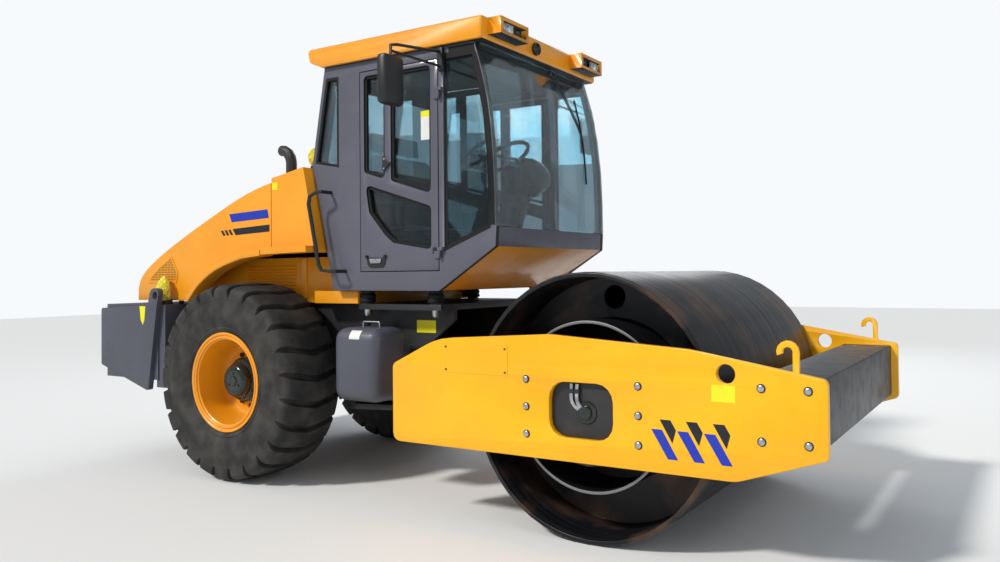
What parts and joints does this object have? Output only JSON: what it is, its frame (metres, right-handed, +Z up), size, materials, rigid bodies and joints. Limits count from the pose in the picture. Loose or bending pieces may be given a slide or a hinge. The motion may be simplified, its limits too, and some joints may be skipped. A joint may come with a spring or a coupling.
{
  "type": "single-drum road roller",
  "caption": "Articulated soil compactor with one smooth steel drum in a plate frame, rubber drive wheels, glazed cab and a rear-hinged engine hood.",
  "frame": {"origin": "on the ground, under the middle of the machine's bounding box", "axes": "+X forwards to the drum, +Y to the machine's left, +Z up"},
  "size_m": [6.05, 2.77, 3.2],
  "materials": {
    "yellow_paint": "gloss enamel",
    "grey_paint": "satin enamel",
    "dark_paint": "satin enamel, dusty",
    "drum_steel": "dark paint, worn on the rolling face",
    "rod_chrome": "hard chrome",
    "tyre_rubber": "moulded rubber, dusty",
    "black_plastic": "moulded grain",
    "seat_fabric": "woven",
    "tinted_glass": "polished, tinted blue-green"
  },
  "bodies": {
    "rear_section": {"rear_frame": "dark_paint", "counterweight": "dark_paint", "rear_axle": "dark_paint", "engine": "dark_paint", "engine_bay": "yellow_paint", "engine_cowl": "yellow_paint", "exhaust_pipe": "dark_paint", "fuel_tank": "grey_paint", "hydraulic_tank": "grey_paint", "cab_floor": "grey_paint", "cab_front_panel": "grey_paint", "cab_rear_wall": "grey_paint", "right_cab_side": "grey_paint", "left_cab_side": "grey_paint", "cab_roof": "yellow_paint", "windscreen": "tinted_glass", "rear_window": "tinted_glass", "right_front_quarter_glass": "tinted_glass", "left_front_quarter_glass": "tinted_glass", "right_rear_quarter_glass": "tinted_glass", "left_rear_quarter_glass": "tinted_glass", "seat": "seat_fabric", "steering_console": "black_plastic", "steering_wheel": "black_plastic", "right_mirror": "black_plastic", "left_mirror": "black_plastic", "right_grab_handle": "black_plastic", "left_grab_handle": "black_plastic"},
    "engine_hood": {"hood": "yellow_paint"},
    "right_door_leaf": {"right_door": "grey_paint", "right_door_glass": "tinted_glass"},
    "left_door_leaf": {"left_door": "grey_paint", "left_door_glass": "tinted_glass"},
    "right_wheel": {"right_tyre": "tyre_rubber", "right_wheel_rim": "yellow_paint", "right_wheel_hub": "dark_paint"},
    "left_wheel": {"left_tyre": "tyre_rubber", "left_wheel_rim": "yellow_paint", "left_wheel_hub": "dark_paint"},
    "centre_link": {"centre_joint": "dark_paint"},
    "front_section": {"right_front_plate": "yellow_paint", "left_front_plate": "yellow_paint", "front_beam": "dark_paint", "rear_cross_member": "yellow_paint", "right_drum_support": "dark_paint", "left_drum_support": "dark_paint", "scraper": "dark_paint"},
    "roller_drum": {"drum": "drum_steel"},
    "right_barrel": {"right_cylinder_barrel": "dark_paint"},
    "right_rod": {"right_cylinder_rod": "rod_chrome"},
    "left_barrel": {"left_cylinder_barrel": "dark_paint"},
    "left_rod": {"left_cylinder_rod": "rod_chrome"}
  },
  "joints": [
    {"name": "steering", "type": "hinge", "parent": "rear_section", "child": "centre_link", "pos_m": [0.17, 0, 0.72], "axis": [0, 0, 1], "range_deg": [-33, 33]},
    {"name": "oscillation", "type": "hinge", "parent": "centre_link", "child": "front_section", "pos_m": [0.17, 0, 0.72], "axis": [-1, 0, 0], "range_deg": [-10, 10]},
    {"name": "drum_spin", "type": "hinge", "parent": "front_section", "child": "roller_drum", "pos_m": [1.7, 0, 0.7615], "axis": [0, 1, 0], "continuous": true},
    {"name": "right_wheel_spin", "type": "hinge", "parent": "rear_section", "child": "right_wheel", "pos_m": [-1.31, -0.887, 0.735], "axis": [0, 1, 0], "continuous": true},
    {"name": "left_wheel_spin", "type": "hinge", "parent": "rear_section", "child": "left_wheel", "pos_m": [-1.31, 0.887, 0.735], "axis": [0, 1, 0], "continuous": true},
    {"name": "right_door_swing", "type": "hinge", "parent": "rear_section", "child": "right_door_leaf", "pos_m": [0.45, -0.78, 1.545], "axis": [0, 0, 1], "range_deg": [0, 85]},
    {"name": "left_door_swing", "type": "hinge", "parent": "rear_section", "child": "left_door_leaf", "pos_m": [0.45, 0.78, 1.545], "axis": [0, 0, -1], "range_deg": [0, 85]},
    {"name": "hood_tilt", "type": "hinge", "parent": "rear_section", "child": "engine_hood", "pos_m": [-2.738, 0, 1.345], "axis": [0, -1, 0], "range_deg": [0, 55]},
    {"name": "right_cylinder_swing", "type": "hinge", "parent": "rear_section", "child": "right_barrel", "pos_m": [-0.5, -0.33, 0.64], "axis": [0, 0, 1], "range_deg": [-5, 5]},
    {"name": "right_rod_slide", "type": "slide", "parent": "right_barrel", "child": "right_rod", "axis": [0.9972, 0.0748, 0], "range_m": [-0.165, 0.165]},
    {"name": "left_cylinder_swing", "type": "hinge", "parent": "rear_section", "child": "left_barrel", "pos_m": [-0.5, 0.33, 0.64], "axis": [0, 0, 1], "range_deg": [-5, 5]},
    {"name": "left_rod_slide", "type": "slide", "parent": "left_barrel", "child": "left_rod", "axis": [0.9972, -0.0748, 0], "range_m": [-0.165, 0.165]}
  ],
  "couplings": [
    {"joint": "right_cylinder_swing", "follows": "steering", "ratio": 0.1165},
    {"joint": "right_rod_slide", "follows": "steering", "m_per_rad": 0.268},
    {"joint": "left_cylinder_swing", "follows": "steering", "ratio": 0.1165},
    {"joint": "left_rod_slide", "follows": "steering", "m_per_rad": -0.268}
  ]
}
